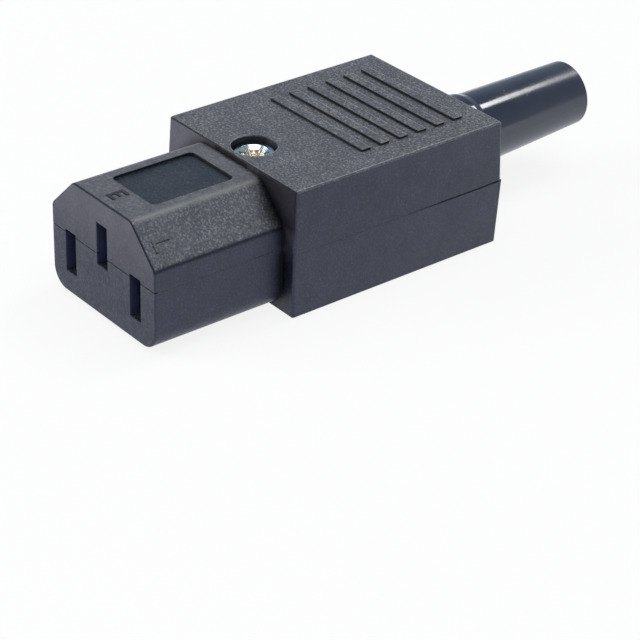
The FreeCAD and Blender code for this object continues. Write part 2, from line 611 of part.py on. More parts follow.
def screw(label, x, y, z, head, head_height, shank, length):
    """A cylinder head screw whose origin is the centre of its seat."""
    body = new_body(label, x, y, z)
    profile = outline(body, "Profile", "XZ_Plane", "0", [
        ("0", f"-{length}"), (f"{shank} / 2", f"-{length}"), (f"{shank} / 2", "0"),
        (f"{head} / 2", "0"), (f"{head} / 2", head_height), ("0", head_height)])
    revolve(body, "Turn", profile, "V_Axis")
    return body


def slotted_screw(label, x, y, z, head, head_height, shank, length):
    """A cylinder head screw with one straight driver slot."""
    body = screw(label, x, y, z, head, head_height, shank, length)
    slot = outline(body, "Slit", "XY_Plane", head_height, box(f"-{head}", head, "-slit / 2", "slit / 2"))
    pocket(body, "SlitCut", slot, "slit_depth")
    return body


def clamp_plate(label, x, y, z):
    """The square plate that presses the strands on the tab."""
    body = new_body(label, x, y, z)
    square = outline(body, "Square", "XY_Plane", "0", mirrored_box("plate_side / 2", "-plate_side / 2", "plate_side / 2"))
    pad(body, "SquarePad", square, "plate_thickness")
    hole = discs(body, "PlateHole", "XY_Plane", "plate_thickness", ("0", "0", "terminal_shank + 2 * through_play"))
    pocket(body, "PlateHoleCut", hole, "plate_thickness")
    return body


terminals = (("line", TAB_X, OUTER_Y, CHAMBER_FLOOR), ("neutral", f"-{TAB_X}", OUTER_Y, CHAMBER_FLOOR),
             ("earth", "0", EARTH_Y, EARTH_FLOOR))
pieces = [lower, upper, line, neutral, earth]
for pole, x, y, level in terminals:
    pieces.append(clamp_plate(f"{pole}_clamp_plate", x, y, f"{level} + sheet"))
    pieces.append(slotted_screw(f"{pole}_terminal_screw", x, y, f"{level} + sheet + plate_thickness",
                                "terminal_head", "terminal_head_height", "terminal_shank", "terminal_length"))

# the cover screw, with a cross recess
cover_screw = screw("cover_screw", "0", SCREW_Y, SCREW_SEAT, "head_width", "head_height", "shank_width", "shank_length")
chamfer(cover_screw, "HeadRim", "head_bevel", ring_at(value("head_height")))
heart = discs(cover_screw, "CrossHeart", "XY_Plane", "head_height", ("0", "0", "recess_heart"))
pocket(cover_screw, "CrossHeartCut", heart, "recess_depth")
for arm, (half_x, half_y) in enumerate((("recess_span / 2", "recess_width / 2"), ("recess_width / 2", "recess_span / 2"))):
    cross = outline(cover_screw, f"Cross{arm}", "XY_Plane", "head_height", mirrored_box(half_x, f"-{half_y}", half_y))
    pocket(cover_screw, f"CrossCut{arm}", cross, "recess_depth")
pieces.append(cover_screw)

# the cord clamp: two feet joined by an arch over the cord
clamp = new_body("cord_clamp", "0", CLAMP_Y, "0")
BACK_SIDE = "-clamp_width / 2"
feet = outline(clamp, "Feet", "XZ_Plane", BACK_SIDE, mirrored_box(
    f"{BAY_SIDE} - clamp_play", CLAMP_SEAT, f"{CLAMP_SEAT} + clamp_foot"))
pad(clamp, "FeetPad", feet, "clamp_width")
arch = discs(clamp, "Arch", "XZ_Plane", BACK_SIDE, ("0", "parting_height", "cord_width + 2 * clamp_arch"))
pad(clamp, "ArchPad", arch, "clamp_width")
under = outline(clamp, "Under", "XZ_Plane", "clamp_width / 2 + overlap", mirrored_box(
    "cord_width / 2 + clamp_arch + overlap", f"{CLAMP_SEAT} - cord_width", CLAMP_SEAT))
pocket(clamp, "UnderCut", under, "clamp_width + 2 * overlap")
saddle = discs(clamp, "Saddle", "XZ_Plane", "clamp_width / 2 + overlap", ("0", "parting_height", "cord_width"))
pocket(clamp, "SaddleCut", saddle, "clamp_width + 2 * overlap")
feet_holes = discs(clamp, "FeetHoles", "XY_Plane", f"{CLAMP_SEAT} + clamp_foot",
                   *both_sides(CLAMP_X, "0", "clamp_shank + 2 * through_play"))
pocket(clamp, "FeetHoleCuts", feet_holes, "clamp_foot")
pieces.append(clamp)
for side, sign in (("left", "-1"), ("right", "1")):
    pieces.append(slotted_screw(f"cord_clamp_screw_{side}", f"{sign} * {CLAMP_X}", CLAMP_Y,
                                f"{CLAMP_SEAT} + clamp_foot", "clamp_head", "clamp_head_height", "clamp_shank",
                                "clamp_shank_length"))

# the boot: a tapered sleeve whose neck sits in the rear wall between a collar and a flange
boot = new_body("cable_boot", "0", BACK, "parting_height")
boot.Placement = FreeCAD.Placement(boot.Placement.Base, FreeCAD.Rotation(FreeCAD.Vector(1, 0, 0), value("boot_lift")))
boot.setExpression("Placement.Rotation.Angle", linked("boot_lift"))
INSIDE = "(-(rear_wall + boot_play))"
INNER_END = f"({INSIDE} - boot_flange_length)"
FLANGE = "(min(cover_height - roof_thickness; parting_height - floor_thickness) - flange_play)"
COLLAR = f"({NECK} / 2 + collar_rim)"
COLLAR_START = "(rear_step + boot_play)"
COLLAR_END = f"({COLLAR_START} + boot_collar_length)"
MOUTH = f"({BORE} / 2 + mouth_wall)"
sleeve = outline(boot, "Sleeve", "XY_Plane", "0", [
    (f"{BORE} / 2", INNER_END), (FLANGE, INNER_END), (FLANGE, INSIDE), (f"{NECK} / 2", INSIDE),
    (f"{NECK} / 2", COLLAR_START), (f"{COLLAR} - boot_bevel", COLLAR_START),
    (COLLAR, f"{COLLAR_START} + boot_bevel"), (COLLAR, COLLAR_END),
    (f"{BORE} / 2 + root_wall", f"{COLLAR_END} + boot_step"), (MOUTH, "boot_reach - mouth_bevel"),
    (f"{MOUTH} - mouth_bevel", "boot_reach"), (f"{BORE} / 2", "boot_reach")])
revolve(boot, "SleeveTurn", sleeve, "V_Axis")
pieces.append(boot)

# the grip ribs repeat forwards, as many as there is room for
ribs = upper.newObject("PartDesign::LinearPattern", "Ribs")
ribs.Originals = [rib]
ribs.Direction = (rear_rib, ["V_Axis"])
ribs.Reversed = True
ribs.setExpression("Occurrences", linked(f"floor({RIB_STRETCH} / rib_pitch) + 1"))
ribs.setExpression("Length", linked(f"rib_pitch * floor({RIB_STRETCH} / rib_pitch)"))
upper.Tip = ribs
document.recompute()

for item in document.Objects:
    if "Invalid" in item.State or "Error" in item.State:
        raise ValueError(f"{item.Label} did not build: {item.State}")
os.makedirs(OUTPUT, exist_ok=True)
for piece in pieces:
    if piece.Shape.isNull() or not piece.Shape.isValid() or len(piece.Shape.Solids) != 1:
        raise ValueError(f"{piece.Label} is not one sound solid")
    piece.Shape.exportStep(os.path.join(OUTPUT, f"{piece.Label}.step"))
    bounds = piece.Shape.BoundBox
    print(f"{piece.Label:26s} {piece.Shape.Volume:9.2f}  x {bounds.XMin:7.2f} {bounds.XMax:7.2f}"
          f"  y {bounds.YMin:7.2f} {bounds.YMax:7.2f}  z {bounds.ZMin:7.2f} {bounds.ZMax:7.2f}")
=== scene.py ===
"""Studio view of a rewirable power connector: finishes, screw head, pole letters, lights, floor and camera.

Metres, in the frame of the solids: +Z up, the contact face looks along -Y, the boot points along +Y.
"""

import json
import math

import bmesh
import bpy
from mathutils import Matrix, Vector


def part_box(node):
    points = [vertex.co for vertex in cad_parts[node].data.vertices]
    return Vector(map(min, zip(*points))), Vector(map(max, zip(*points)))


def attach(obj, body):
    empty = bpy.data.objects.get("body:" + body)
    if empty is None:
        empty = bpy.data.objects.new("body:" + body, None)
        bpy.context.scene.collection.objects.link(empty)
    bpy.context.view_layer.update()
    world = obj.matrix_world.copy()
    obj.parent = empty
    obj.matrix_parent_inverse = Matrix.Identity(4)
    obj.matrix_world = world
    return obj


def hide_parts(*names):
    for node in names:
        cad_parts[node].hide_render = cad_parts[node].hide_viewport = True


MM = 0.001

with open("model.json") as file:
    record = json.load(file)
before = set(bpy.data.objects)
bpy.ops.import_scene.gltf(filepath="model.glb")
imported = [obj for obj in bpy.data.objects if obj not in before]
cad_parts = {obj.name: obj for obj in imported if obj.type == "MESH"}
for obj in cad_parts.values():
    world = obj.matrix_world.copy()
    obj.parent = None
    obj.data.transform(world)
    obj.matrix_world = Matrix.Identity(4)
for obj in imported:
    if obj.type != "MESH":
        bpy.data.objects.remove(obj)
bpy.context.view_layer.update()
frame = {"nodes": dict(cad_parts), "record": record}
nodes = frame["nodes"]

# stations and levels on the solids
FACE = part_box("upper_shell")[0].y
FRONT = FACE + 19.3 * MM
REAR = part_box("upper_shell")[1].y
PARTING = 9.2 * MM
NOSE_TOP = PARTING + 7.75 * MM
LEDGE = NOSE_TOP + 0.55 * MM
RECESS_RIM = (NOSE_TOP - 0.25 * MM, NOSE_TOP - 0.33 * MM)
SHOULDER_TOP = Vector((6.2 * MM, 0, NOSE_TOP))
SLOPE_RUN = Vector((4.9 * MM, 0, -4.8 * MM))
SLOPE = SLOPE_RUN.normalized()
SLOPE_FOOT = SHOULDER_TOP + SLOPE_RUN


class Graph:
    """Short forms for the nodes of one node tree."""

    def __init__(self, tree):
        self.tree = tree

    def add(self, kind, links=None, **settings):
        """A node with its settings, whose inputs take numbers or other nodes' outputs."""
        node = self.tree.nodes.new(kind)
        for key, item in settings.items():
            setattr(node, key, item)
        for key, item in (links or {}).items():
            self.connect(node.inputs[key], item)
        return node

    def connect(self, socket, item):
        """Links an output to an input, or sets the input to a number."""
        if isinstance(item, bpy.types.NodeSocket):
            self.tree.links.new(item, socket)
        else:
            socket.default_value = item

    def reckon(self, operation, first, second=0.0, clamp=False):
        """One step of arithmetic."""
        node = self.add("ShaderNodeMath", {0: first, 1: second}, operation=operation, use_clamp=clamp)
        return node.outputs[0]

    def plus(self, first, second, clamp=False):
        return self.reckon("ADD", first, second, clamp)

    def minus(self, first, second):
        return self.reckon("SUBTRACT", first, second)

    def larger(self, first, second):
        return self.reckon("MAXIMUM", first, second)

    def times(self, first, *others):
        """The product of all that it is given."""
        for other in others:
            first = self.reckon("MULTIPLY", first, other)
        return first

    def ramp(self, item, low, high, start=0.0, end=1.0):
        """Maps low..high to start..end, held at both ends."""
        return self.add("ShaderNodeMapRange", {"Value": item, "From Min": low, "From Max": high,
                                               "To Min": start, "To Max": end}).outputs["Result"]

    def above(self, item, limit, width):
        """0 up to the limit, 1 from the width above it."""
        return self.ramp(item, limit, limit + width)

    def below(self, item, limit, width):
        """0 down to the limit, 1 from the width below it."""
        return self.ramp(item, limit, limit - width)

    def fade(self, share, start, end):
        """A number that goes from start to end as the share goes from 0 to 1."""
        return self.ramp(share, 0.0, 1.0, start, end)

    def blend(self, share, first, second):
        """A colour that goes from the first to the second as the share goes from 0 to 1."""
        node = self.add("ShaderNodeMix", data_type="RGBA")
        self.connect(node.inputs[0], share)
        for socket, colour in ((node.inputs[6], first), (node.inputs[7], second)):
            self.connect(socket, colour if isinstance(colour, bpy.types.NodeSocket) else (*colour, 1.0))
        return node.outputs[2]

    def axis(self, vector, name):
        """One of a vector's three numbers."""
        return self.add("ShaderNodeSeparateXYZ", {0: vector}).outputs[name]


class Finish(Graph):
    """Node tree of one material, around its shader."""

    def __init__(self, name):
        self.material = bpy.data.materials.new(name)
        self.material.use_nodes = True
        super().__init__(self.material.node_tree)
        self.shader = self.tree.nodes["Principled BSDF"]
        self.place = self.add("ShaderNodeTexCoord").outputs["Object"]
        self.facing = self.add("ShaderNodeNewGeometry").outputs["Normal"]

    def set(self, **values):
        """Inputs of the shader, by name with underscores for spaces."""
        for key, item in values.items():
            self.connect(self.shader.inputs[key.replace("_", " ")], item)

    def noise(self, size, detail=2.0, roughness=0.5, stretch=(1.0, 1.0, 1.0)):
        """Noise whose blotches are about size wide."""
        spot = self.add("ShaderNodeMapping", {"Vector": self.place, "Scale": stretch}).outputs["Vector"]
        return self.add("ShaderNodeTexNoise", {"Vector": spot, "Scale": 1.0 / size, "Detail": detail,
                                               "Roughness": roughness}).outputs["Fac"]

    def patches(self, size, detail, low, high, middle=(0.3, 0.7)):
        """Noise that wavers between low and high."""
        return self.ramp(self.noise(size, detail), *middle, low, high)

    def cells(self, size):
        """Distance to the nearest of scattered points."""
        points = self.add("ShaderNodeTexVoronoi", {"Vector": self.place, "Scale": 1.0 / size})
        return points.outputs["Distance"]

    def tinted(self, colour, factor):
        """A colour made lighter or darker."""
        return self.add("ShaderNodeVectorMath", {0: colour, 3: factor}, operation="SCALE").outputs["Vector"]

    def soft_edges(self, radius):
        """Normals rounded over the sharp edges, and how far they turn there."""
        rounded = self.add("ShaderNodeBevel", {"Radius": radius}, samples=4).outputs["Normal"]
        turned_by = self.add("ShaderNodeVectorMath", {0: rounded, 1: self.facing}, operation="DOT_PRODUCT")
        return rounded, self.ramp(turned_by.outputs["Value"], 0.995, 0.9)

    def bump(self, height, distance, normal):
        return self.add("ShaderNodeBump", {"Height": height, "Distance": distance, "Normal": normal,
                                           "Strength": 1.0}).outputs["Normal"]


# widths over which one look gives way to the next
BLUR = 0.1 * MM
WIDE_BLUR = 0.2 * MM
NOSE_BLUR = 0.3 * MM
SHOULDER_BLUR = 0.4 * MM

# how far up a normal points, 0 on an upright wall and 1 on a level top: where a look starts and is full
UPWARD = (0.45, 0.65)
LEVEL = (0.9, 0.97)
STEEP = (0.7, 0.9)
OVERHANG = (0.5, 0.2)
WALL = (0.5, 0.3)
# the same for the rounded normal along an edge
# for the pale edges, partly worn and partly painted highlight
PALE_EDGE_LEAN = (0.28, 0.48)
OFF_TOP_LEAN = (0.99, 0.95)
# for the painted highlight on the nose's shoulders
HIGHLIGHT_LEAN = (0.78, 0.84)
RIM_LEAN = (0.12, 0.35)
SIDE_LEAN = (0.04, 0.12)
SIDE_LEAN_END = (0.4, 0.28)
UPRIGHT_LEAN = (0.2, 0.1)
# how far a normal points to the front, as negative numbers
FACED = (-0.9, -0.98)
STEP_FACED = (-0.5, -0.8)
RIM_FACED = (-0.2, -0.5)
UPRIGHT_FACED = (-0.1, -0.35)

# how open a corner is: where it is darkest and where it isn't dark
CORNER_OPEN = (0.5, 0.88)

# radius of the softened edges, and what the rear edges have more
EDGE_RADIUS = 0.24 * MM
SHOULDER_RADIUS = 0.75 * MM
REAR_MORE = 0.14 * MM

# where the looks of the housing change
SHOULDER_HALF = 1.2 * MM
SHOULDER_START = FACE + 0.5 * MM
GRAIN_START = FACE + 0.1 * MM
REAR_START = REAR - 0.7 * MM
BODY_START = FRONT - 0.1 * MM
BODY_SIDE = 12 * MM
# where the painted light on the walls starts to grow towards the rear
REAR_LIGHT_START = FRONT + 10 * MM
# heights over which the contact face goes from painted shade to painted light
FACE_LIGHT_FADE = (7 * MM, 15.5 * MM)
SEAM_HALF = 0.16 * MM
SEAM_CLEAR = 0.4 * MM
SEAM_FADE = (REAR - 17 * MM, REAR - 10 * MM)
DRAFT_END = FRONT + 1.2 * MM
ROOT_END = FRONT + 0.9 * MM
SHADE_SIDE = (4 * MM, 6 * MM)
SHADE_HEIGHT = (10.5 * MM, 12.5 * MM)
SHADE_FADE = (FRONT - 3 * MM, FRONT - 0.1 * MM)
CORNER_REACH = 3 * MM
SHADE_REACH = 6 * MM
FOOT_START = SLOPE_FOOT.z - 0.5 * MM
FOOT_START_BLUR = 0.35 * MM
FOOT_END = SLOPE_FOOT.z + 0.35 * MM
FOOT_END_BLUR = 0.3 * MM
FOOT_SIDE = SLOPE_FOOT.x - 0.5 * MM
ROOT_SIDE = SLOPE_FOOT.x + 0.4 * MM
ROOT_TOP = NOSE_TOP + 0.2 * MM
UPRIGHT_BLUR = 0.12 * MM
FACE_RIM_WIDTH = 1 * MM
CHAMBER_HALF = 9 * MM
CHAMBER_FLOOR = 2 * MM
CHAMBER_ROOF = 13.9 * MM
CHAMBER_START = (FACE + 0.02 * MM, FACE + 0.1 * MM)
CHAMBER_FADE = 1 * MM
SINK_HALF = 3.4 * MM
SINK_START = FRONT + 0.2 * MM
SINK_END = FRONT + 8 * MM

# light that is left at the darkest of each: corners, edges, the strip beside the nose, face rim, screw hole
CORNER_LIGHT = 0.2
EDGE_LIGHT = 0.28
SHADE_LIGHT = 0.34
FACE_RIM_LIGHT = 0.9
SINK_LIGHT = 0.35
# share of that darkness on the foot of the slope and on the upright front edge, and the depth of the seam
FOOT_SHARE = 0.7
UPRIGHT_SHARE = 0.6
SEAM_DEPTH = 0.85

# sizes of the grain and its pits, the fine grain, blotches, the blotches of painted light towards the rear,
# the worn patches on the pale edges, and duller patches
GRAIN_SIZE = 0.3 * MM
PIT_SIZE = 0.45 * MM
FINE_SIZE = 0.14 * MM
BLOTCH_SIZE = 3.2 * MM
REAR_LIGHT_SIZE = 9 * MM
WEAR_SIZE = 0.5 * MM
DULL_SIZE = 0.8 * MM
# values of the grain that show as pale specks and as dark hollows
SPECKS = (0.5, 0.66)
HOLLOWS = (0.5, 0.4)
PIT_SHARE = 0.35
# how strongly the grain shows: on slopes, on the top of the nose, and specks on walls
SLOPE_CONTRAST = 0.64
CALM_CONTRAST = 0.4
WALL_SPECKS = 0.36
# share of the grain's height that the top of the nose has
CALM_DEPTH = 0.5
# heights of the relief: fine grain everywhere, coarse grain on walls
FINE_HEIGHT = 0.034 * MM
WALL_HEIGHT = 0.02 * MM
# brightness of the body, the nose's slopes and its top: the nose's slopes and top are painted lighter
BODY_LIGHT = 0.97
SLOPE_LIGHT = 1.26
NOSE_TOP_LIGHT = 1.15
# share of the pale edge colour, partly worn and partly painted highlight, away from the nose's shoulders
PALE_EDGE_SHARE = 0.9
# roughness of walls and grained tops, and how much less the recess has
WALL_ROUGHNESS = 0.42
TOP_ROUGHNESS = 0.56
RECESS_SHINE = 0.14
ROUGHNESS_SPREAD = 0.08
SPECULAR_LEVEL = 0.5

# painted light: the pale blue on the walls inside the contact openings
CHAMBER_LIGHT = (0.07, 0.088, 0.175)


class Moulding(Finish):
    """Black moulding: grained tops, smooth sides, a polished recess, pale edges partly worn and partly
    painted highlight, painted shade in corners, and painted light on the face, the nose and the walls.
    """

    def __init__(self, name, colours, grain):
        super().__init__(name)
        self.colours = colours
        self.level = self.axis(self.facing, "Z")
        self.ahead = self.axis(self.facing, "Y")
        self.side = self.axis(self.place, "X")
        self.across = self.reckon("ABSOLUTE", self.side)
        self.along = self.axis(self.place, "Y")
        self.height = self.axis(self.place, "Z")
        self.on_nose = self.below(self.along, FRONT, NOSE_BLUR)
        self.from_seam = self.reckon("ABSOLUTE", self.minus(self.height, PARTING))
        self.off_seam = self.above(self.from_seam, SEAM_CLEAR, WIDE_BLUR)
        self.find_edges()
        self.find_tops()
        self.grains = self.noise(GRAIN_SIZE, 4.0, 0.72)
        colour = self.wear_and_highlights(self.colour_grain())
        inside = self.chamber()
        # painted light on the walls inside the contact openings, which keep none of the painted shade
        colour = self.blend(self.times(inside, self.ramp(self.level, *OVERHANG)), colour, CHAMBER_LIGHT)
        lit = self.times(self.shade(), self.minus(1.0, self.seam()))
        lit = self.times(self.larger(lit, inside), self.fade(self.sink(), 1.0, SINK_LIGHT))
        blotches = self.patches(BLOTCH_SIZE, 3.0, 0.85, 1.15)
        # painted light: the nose's slopes and top lighter than the body
        painted_light = self.fade(self.times(self.upward, self.on_nose), BODY_LIGHT,
                         self.fade(self.calm, SLOPE_LIGHT, NOSE_TOP_LIGHT))
        self.set(Base_Color=self.tinted(colour, self.times(blotches, painted_light, lit)), Roughness=self.polish(),
                 Normal=self.relief(grain), Specular_IOR_Level=self.times(lit, SPECULAR_LEVEL))

    def find_edges(self):
        """Bands round the nose's shoulders and the rear edges, and the normals rounded over all edges."""
        self.shoulder = self.times(self.above(self.across, SHOULDER_TOP.x - SHOULDER_HALF, SHOULDER_BLUR),
                                   self.below(self.across, SHOULDER_TOP.x + SHOULDER_HALF, SHOULDER_BLUR),
                                   self.on_nose,
                                   self.above(self.along, SHOULDER_START, SHOULDER_BLUR))
        self.rear = self.times(self.above(self.along, REAR_START, WIDE_BLUR),
                               self.above(self.height, PARTING, BLUR))
        radius = self.plus(self.fade(self.shoulder, EDGE_RADIUS, SHOULDER_RADIUS),
                           self.fade(self.rear, 0.0, REAR_MORE))
        self.rounded, self.edge = self.soft_edges(radius)
        self.lean = self.axis(self.rounded, "Z")
        self.front_lean = self.axis(self.rounded, "Y")

    def find_tops(self):
        """The recess, all else that looks up, the calmer top of the nose, and what looks to the front."""
        flat = self.ramp(self.level, *LEVEL)
        self.sunken = self.times(flat, self.ramp(self.height, *RECESS_RIM))
        self.upward = self.times(self.ramp(self.level, *UPWARD), self.minus(1.0, self.sunken),
                                 self.above(self.along, GRAIN_START, WIDE_BLUR))
        self.calm = self.times(flat, self.on_nose)
        self.faced = self.ramp(self.ahead, *FACED)

    def colour_grain(self):
        """Colours of sides, face, recess and grained tops, with pale specks and dark hollows, and painted
        light: the face lighter towards its top, the walls lighter towards the rear.
        """
        colours = self.colours
        # painted light: the contact face darker low down and lighter towards its top
        front = self.blend(self.ramp(self.height, *FACE_LIGHT_FADE), colours["face_shaded"], colours["face_lit"])
        # painted light: the smooth walls lighter towards the rear, in blotches
        rear_lit = self.times(self.ramp(self.along, REAR_LIGHT_START, REAR),
                          self.patches(REAR_LIGHT_SIZE, 2.0, 0.3, 0.6, middle=(0.3, 0.6)))
        plain = self.blend(self.sunken, colours["smooth"], colours["polished"])
        plain = self.blend(rear_lit, plain, colours["haze"])
        colour = self.blend(self.upward, self.blend(self.faced, plain, front), colours["eroded"])
        contrast = self.fade(self.calm, self.ramp(self.level, *STEEP, SLOPE_CONTRAST, 1.0), CALM_CONTRAST)
        specks = self.times(self.ramp(self.grains, *SPECKS), contrast,
                            self.fade(self.upward, WALL_SPECKS, 1.0))
        colour = self.blend(specks, colour, colours["worn"])
        hollows = self.times(self.ramp(self.grains, *HOLLOWS), contrast, self.upward)
        return self.blend(hollows, colour, colours["smooth"])

    def wear_and_highlights(self, colour):
        """Adds pale upper edges to the body, worn in patches and partly painted highlight, painted highlight
        on the rear edges, and a painted highlight on the nose's soft shoulders.
        """
        # pale upper edges of the body: worn in patches, partly painted highlight
        worn = self.times(self.edge, self.patches(WEAR_SIZE, 3.0, 0.0, 1.0, middle=(0.25, 0.5)),
                          self.ramp(self.lean, *PALE_EDGE_LEAN), self.above(self.along, BODY_START, WIDE_BLUR),
                          self.off_seam)
        # painted highlight along the rear edges
        worn = self.larger(worn, self.times(self.edge, self.rear))
        worn = self.times(worn, self.fade(self.shoulder, PALE_EDGE_SHARE, 0.0))
        colour = self.blend(worn, colour, self.colours["edge_wear_and_highlight"])
        # painted highlight on the nose's soft shoulders
        highlighted = self.blend(self.ramp(self.lean, *HIGHLIGHT_LEAN), colour, self.colours["shoulder_highlight"])
        return self.blend(self.times(self.shoulder, self.ramp(self.lean, *OFF_TOP_LEAN)), colour, highlighted)

    def shaded_edges(self):
        """Edges given painted shade: the rim of the contact face, the side edges and the upright front ones.
        """
        rim = self.times(self.ramp(self.front_lean, *RIM_FACED), self.ramp(self.lean, *RIM_LEAN))
        side_edge = self.times(self.ramp(self.lean, *SIDE_LEAN), self.ramp(self.lean, *SIDE_LEAN_END),
                               self.edge)
        foot = self.times(self.above(self.height, FOOT_START, FOOT_START_BLUR),
                          self.below(self.height, FOOT_END, FOOT_END_BLUR),
                          self.above(self.across, FOOT_SIDE, WIDE_BLUR), self.on_nose)
        side_edge = self.larger(side_edge, self.times(foot, FOOT_SHARE))
        upright = self.times(self.ramp(self.front_lean, *UPRIGHT_FACED), self.ramp(self.lean, *UPRIGHT_LEAN),
                             self.above(self.along, BODY_START, UPRIGHT_BLUR), self.edge,
                             self.above(self.across, BODY_SIDE, BLUR))
        return self.larger(self.times(self.larger(rim, side_edge), self.off_seam),
                           self.times(upright, UPRIGHT_SHARE))

    def beside_nose(self):
        """The step round the nose and the nose's root, on the side where the nose blocks the key light."""
        step = self.times(self.ramp(self.ahead, *STEP_FACED), self.below(self.along, DRAFT_END, WIDE_BLUR))
        root = self.times(self.below(self.along, ROOT_END, BLUR),
                          self.below(self.across, ROOT_SIDE, WIDE_BLUR),
                          self.below(self.height, ROOT_TOP, BLUR))
        return self.times(self.ramp(self.side, *SHADE_SIDE), self.larger(step, root))

    def shade(self):
        """Light that is left in corners, along dark edges, beside the nose and at the rim of the face."""
        beside = self.beside_nose()
        reach = self.fade(beside, CORNER_REACH, SHADE_REACH)
        corners = self.add("ShaderNodeAmbientOcclusion", {"Distance": reach}, samples=8, only_local=True)
        strip = self.times(beside, self.ramp(self.height, *SHADE_HEIGHT), self.ramp(self.along, *SHADE_FADE))
        face_rim = self.times(self.faced, self.below(self.along, FACE + FACE_RIM_WIDTH, FACE_RIM_WIDTH))
        return self.times(self.ramp(corners.outputs["AO"], *CORNER_OPEN, CORNER_LIGHT, 1.0),
                          self.fade(self.shaded_edges(), 1.0, EDGE_LIGHT),
                          self.fade(self.times(strip, strip), 1.0, SHADE_LIGHT),
                          self.fade(face_rim, 1.0, FACE_RIM_LIGHT))

    def seam(self):
        """The parting line on the walls, darker towards the rear."""
        return self.times(self.below(self.from_seam, SEAM_HALF, BLUR), self.ramp(self.level, *WALL),
                          self.ramp(self.along, *SEAM_FADE, 0.0, SEAM_DEPTH))

    def chamber(self):
        """Walls of the contact openings, behind the face, which get painted light."""
        tall = self.times(self.above(self.height, CHAMBER_FLOOR, BLUR),
                          self.below(self.height, CHAMBER_ROOF, BLUR))
        return self.times(self.below(self.across, CHAMBER_HALF, BLUR), self.ramp(self.along, *CHAMBER_START),
                          self.below(self.along, FRONT, CHAMBER_FADE), tall)

    def sink(self):
        """The hole over the cover screw."""
        return self.times(self.below(self.across, SINK_HALF, BLUR),
                          self.below(self.height, LEDGE + BLUR, BLUR),
                          self.above(self.along, SINK_START, BLUR), self.below(self.along, SINK_END, BLUR))

    def polish(self):
        """Roughness: duller where it is grained, shinier in the recess."""
        roughness = self.minus(self.fade(self.upward, WALL_ROUGHNESS, TOP_ROUGHNESS),
                               self.times(self.sunken, RECESS_SHINE))
        return self.plus(roughness, self.patches(DULL_SIZE, 2.0, -ROUGHNESS_SPREAD, ROUGHNESS_SPREAD))

    def relief(self, grain):
        """Normals with fine grain everywhere, and coarse grain and pits on what looks up."""
        normal = self.bump(self.noise(FINE_SIZE, 2.0), FINE_HEIGHT, self.rounded)
        coarse = self.minus(self.grains, self.times(self.cells(PIT_SIZE), PIT_SHARE))
        depth = self.fade(self.times(self.upward, self.fade(self.calm, 1.0, CALM_DEPTH)), WALL_HEIGHT, grain)
        return self.bump(coarse, depth, normal)


# its haze is painted light on the walls towards the rear, its pale edge colour partly worn and partly painted
# highlight, and its shoulder colour a painted highlight
def plain_moulding(name, smooth, eroded, worn, edge_wear_and_highlight, shoulder_highlight, haze, grain):
    """A moulding with one colour on all its smooth faces."""
    colours = {"smooth": smooth, "polished": smooth, "face_shaded": smooth, "face_lit": smooth,
               "eroded": eroded, "worn": worn, "edge_wear_and_highlight": edge_wear_and_highlight, "shoulder_highlight": shoulder_highlight, "haze": haze}
    return Moulding(name, colours, grain).material


# where the boot's gloss starts to fade and where it is dullest
SLEEVE_FADE = (REAR + 6 * MM, REAR + 25 * MM)


def glossy_sleeve(name):
    """Soft black vinyl: glossy, with faint waves, haze and dust."""
    finish = Finish(name)
    rounded, edge = finish.soft_edges(0.2 * MM)
    dust = finish.ramp(finish.cells(1.7 * MM), 0.1, 0.04)
    colour = finish.blend(finish.patches(4 * MM, 2.0, 0.0, 1.0), (0.027, 0.034, 0.054), (0.035, 0.042, 0.067))
    colour = finish.blend(finish.times(edge, 0.3), colour, (0.03, 0.033, 0.04))
    colour = finish.blend(finish.times(dust, 0.12), colour, (0.3, 0.31, 0.32))
    away = finish.ramp(finish.axis(finish.place, "Y"), *SLEEVE_FADE, 0.02, 0.2)
    roughness = finish.plus(finish.patches(2.5 * MM, 3.0, 0.06, 0.12), away)
    roughness = finish.plus(roughness, finish.times(dust, 0.25))
    waves = finish.noise(5 * MM, 1.0, 0.4, (1.0, 0.35, 1.0))
    finish.set(Base_Color=colour, Roughness=roughness, Normal=finish.bump(waves, 0.04 * MM, rounded),
               Specular_IOR_Level=0.95)
    return finish.material


def metal(name, first, second, third, low, high):
    """Plated or plain metal with tints, drawn scratches and dull patches."""
    finish = Finish(name)
    rounded, edge = finish.soft_edges(0.1 * MM)
    tint = finish.blend(finish.patches(1.1 * MM, 2.0, 0.0, 1.0, middle=(0.35, 0.65)), first, second)
    spots = finish.patches(0.7 * MM, 2.0, 0.0, 1.0, middle=(0.5, 0.7))
    tint = finish.blend(finish.times(spots, 0.6), tint, third)
    tint = finish.blend(finish.times(edge, 0.35), tint, (0.9, 0.9, 0.9))
    scratches = finish.noise(0.25 * MM, 3.0, 0.6, (1.0, 0.15, 1.0))
    finish.set(Base_Color=tint, Roughness=finish.patches(0.6 * MM, 3.0, low, high),
               Normal=finish.bump(scratches, 0.008 * MM, rounded), Metallic=1.0)
    return finish.material


